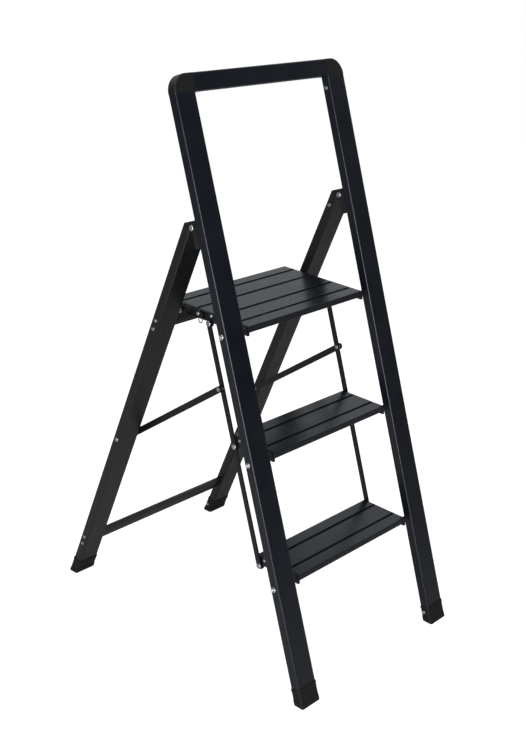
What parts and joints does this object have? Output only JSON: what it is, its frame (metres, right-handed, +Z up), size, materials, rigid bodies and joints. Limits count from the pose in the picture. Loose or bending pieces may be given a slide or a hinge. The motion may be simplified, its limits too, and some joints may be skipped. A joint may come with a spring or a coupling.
{
  "type": "step stool",
  "caption": "Folding step stool with a tall hand rail, hinged rear legs and ribbed treads that fold up flat between the rails.",
  "frame": {"origin": "on the floor, in the middle of the open stool's footprint", "axes": "+X across to the right seen from the front, +Y from front to back, +Z up"},
  "size_m": [0.4804, 0.6916, 1.1346],
  "materials": {
    "rail_paint": "satin black powder coat on aluminium",
    "leg_paint": "satin black powder coat on aluminium",
    "tread_finish": "ribbed dark grey anodised aluminium",
    "moulded_black": "moulded black plastic",
    "rubber_black": "black rubbery plastic",
    "black_steel": "black coated steel",
    "bright_steel": "bright zinc-plated steel"
  },
  "bodies": {
    "front_frame": {"left_front_rail": "rail_paint", "right_front_rail": "rail_paint", "top_rail": "rail_paint", "left_corner_connector": "moulded_black", "right_corner_connector": "moulded_black", "corner_rivets": "bright_steel", "left_hinge_bracket": "moulded_black", "right_hinge_bracket": "moulded_black", "hinge_bracket_rivets": "bright_steel", "hinge_pins": "bright_steel", "tread_pivot_bolts": "bright_steel", "tread_pivot_bushes": "moulded_black", "left_front_foot": "rubber_black", "right_front_foot": "rubber_black", "front_foot_rivets": "bright_steel"},
    "rear_frame": {"left_rear_leg": "leg_paint", "right_rear_leg": "leg_paint", "left_leg_hinge_cap": "moulded_black", "right_leg_hinge_cap": "moulded_black", "leg_cap_rivets": "bright_steel", "lower_crossbar": "leg_paint", "upper_crossbar": "leg_paint", "crossbar_screws": "bright_steel", "rest_pins": "black_steel", "brace_leg_rivets": "bright_steel", "left_rear_foot": "rubber_black", "right_rear_foot": "rubber_black", "rear_foot_rivets": "bright_steel"},
    "platform": {"platform_deck": "tread_finish", "left_platform_side_plate": "black_steel", "right_platform_side_plate": "black_steel", "platform_screws": "bright_steel", "catch_rivet": "bright_steel"},
    "middle_step": {"middle_step_plank": "tread_finish", "left_middle_step_side_plate": "black_steel", "right_middle_step_side_plate": "black_steel", "middle_step_screws": "bright_steel"},
    "bottom_step": {"bottom_step_plank": "tread_finish", "left_bottom_step_side_plate": "black_steel", "right_bottom_step_side_plate": "black_steel", "bottom_step_screws": "bright_steel"},
    "left_rod": {"left_link_rod": "black_steel", "left_rod_tread_rivets": "bright_steel", "left_rod_washers": "moulded_black", "left_rod_brace_rivet": "bright_steel"},
    "right_rod": {"right_link_rod": "black_steel", "right_rod_tread_rivets": "bright_steel", "right_rod_washers": "moulded_black", "right_rod_brace_rivet": "bright_steel"},
    "left_brace": {"left_brace": "black_steel", "left_brace_end_stud": "bright_steel"},
    "right_brace": {"right_brace": "black_steel", "right_brace_end_stud": "bright_steel"},
    "safety_catch": {"catch_lever": "black_steel", "catch_pull_loop": "black_steel"}
  },
  "joints": [
    {"name": "rear_fold", "type": "hinge", "parent": "front_frame", "child": "rear_frame", "pos_m": [0, 0.00521, 0.86914], "axis": [-1, 0, 0], "range_deg": [0, 40]},
    {"name": "platform_fold", "type": "hinge", "parent": "front_frame", "child": "platform", "pos_m": [0, -0.08286, 0.6827], "axis": [1, 0, 0], "range_deg": [0, 70]},
    {"name": "middle_step_fold", "type": "hinge", "parent": "front_frame", "child": "middle_step", "pos_m": [0, -0.16658, 0.4527], "axis": [1, 0, 0], "range_deg": [0, 70]},
    {"name": "bottom_step_fold", "type": "hinge", "parent": "front_frame", "child": "bottom_step", "pos_m": [0, -0.25029, 0.2227], "axis": [1, 0, 0], "range_deg": [0, 70]},
    {"name": "left_rod_swing", "type": "hinge", "parent": "platform", "child": "left_rod", "pos_m": [-0.1757, 0.00944, 0.6693], "axis": [-1, 0, 0], "range_deg": [0, 70]},
    {"name": "left_brace_swing", "type": "hinge", "parent": "left_rod", "child": "left_brace", "pos_m": [-0.1843, -0.03426, 0.54924], "axis": [-1, 0, 0], "range_deg": [0, 69.73]},
    {"name": "right_rod_swing", "type": "hinge", "parent": "platform", "child": "right_rod", "pos_m": [0.1757, 0.00944, 0.6693], "axis": [-1, 0, 0], "range_deg": [0, 70]},
    {"name": "right_brace_swing", "type": "hinge", "parent": "right_rod", "child": "right_brace", "pos_m": [0.1843, -0.03426, 0.54924], "axis": [-1, 0, 0], "range_deg": [0, 69.73]},
    {"name": "catch_swing", "type": "hinge", "parent": "platform", "child": "safety_catch", "pos_m": [-0.1765, 0.03794, 0.682], "axis": [1, 0, 0], "range_deg": [0, 20]}
  ],
  "couplings": [
    {"joint": "platform_fold", "follows": "rear_fold", "ratio": 1.75},
    {"joint": "middle_step_fold", "follows": "rear_fold", "ratio": 1.75},
    {"joint": "bottom_step_fold", "follows": "rear_fold", "ratio": 1.75},
    {"joint": "left_rod_swing", "follows": "rear_fold", "ratio": 1.75},
    {"joint": "left_brace_swing", "follows": "rear_fold", "ratio": 1.7433},
    {"joint": "right_rod_swing", "follows": "rear_fold", "ratio": 1.75},
    {"joint": "right_brace_swing", "follows": "rear_fold", "ratio": 1.7433}
  ]
}
